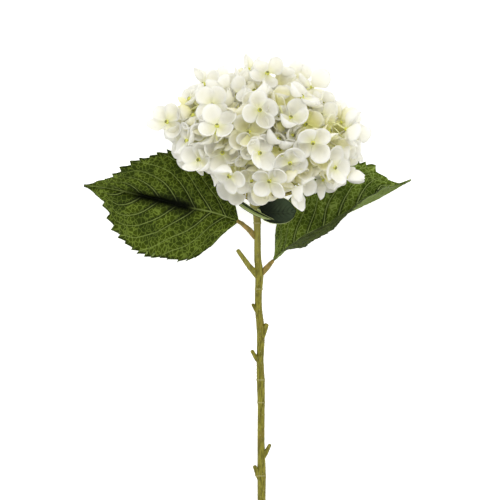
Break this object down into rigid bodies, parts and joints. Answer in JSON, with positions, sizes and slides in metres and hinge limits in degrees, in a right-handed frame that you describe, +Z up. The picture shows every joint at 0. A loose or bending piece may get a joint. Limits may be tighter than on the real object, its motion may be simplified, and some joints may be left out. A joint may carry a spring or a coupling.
{
  "type": "cut hydrangea",
  "caption": "White mophead hydrangea cut with its leafy stem and lying on its side, its domed head of four-sepalled florets carried on branching stalks.",
  "frame": {"origin": "middle of the footprint, on the surface that the flower lies on", "axes": "+Z up; +Y along the stem towards the head; +X to the right of the stem, seen from above"},
  "size_m": [0.2686, 0.4206, 0.156],
  "materials": {
    "stem": "satin green-brown bark with pale specks",
    "petiole": "satin ochre-brown leaf stalk",
    "branch": "matt pale green flower stalk",
    "leaf": "satin puckered leaf with a paler, matt underside",
    "sepal": "matt, thin and translucent, creamy at the foot"
  },
  "bodies": {
    "root": {"stem": "stem", "leaf_left_petiole": "petiole", "leaf_right_petiole": "petiole", "leaf_left_blade": "leaf", "leaf_right_blade": "leaf", "leaf_small_left_blade": "leaf", "leaf_small_right_blade": "leaf", "branch_01": "branch", "branch_02": "branch", "branch_03": "branch", "branch_04": "branch", "branch_05": "branch", "branch_06": "branch", "branch_07": "branch", "branch_08": "branch", "branch_09": "branch", "branch_10": "branch", "floret_spray_01": "sepal", "floret_spray_02": "sepal", "floret_spray_03": "sepal", "floret_spray_04": "sepal", "floret_spray_05": "sepal", "floret_spray_06": "sepal", "floret_spray_07": "sepal", "floret_spray_08": "sepal", "floret_spray_09": "sepal", "floret_spray_10": "sepal", "floret_spray_11": "sepal", "floret_spray_12": "sepal", "floret_spray_13": "sepal", "floret_spray_14": "sepal", "floret_spray_15": "sepal", "floret_spray_16": "sepal", "floret_spray_17": "sepal", "floret_spray_18": "sepal", "floret_spray_19": "sepal", "floret_spray_20": "sepal", "floret_spray_21": "sepal", "floret_spray_22": "sepal", "floret_spray_23": "sepal", "floret_spray_24": "sepal", "floret_spray_25": "sepal", "floret_spray_26": "sepal", "floret_spray_27": "sepal", "floret_spray_28": "sepal", "floret_spray_29": "sepal", "floret_spray_30": "sepal", "floret_spray_31": "sepal", "floret_spray_32": "sepal", "floret_spray_33": "sepal", "floret_spray_34": "sepal", "floret_spray_35": "sepal", "floret_spray_36": "sepal"}
  },
  "joints": []
}
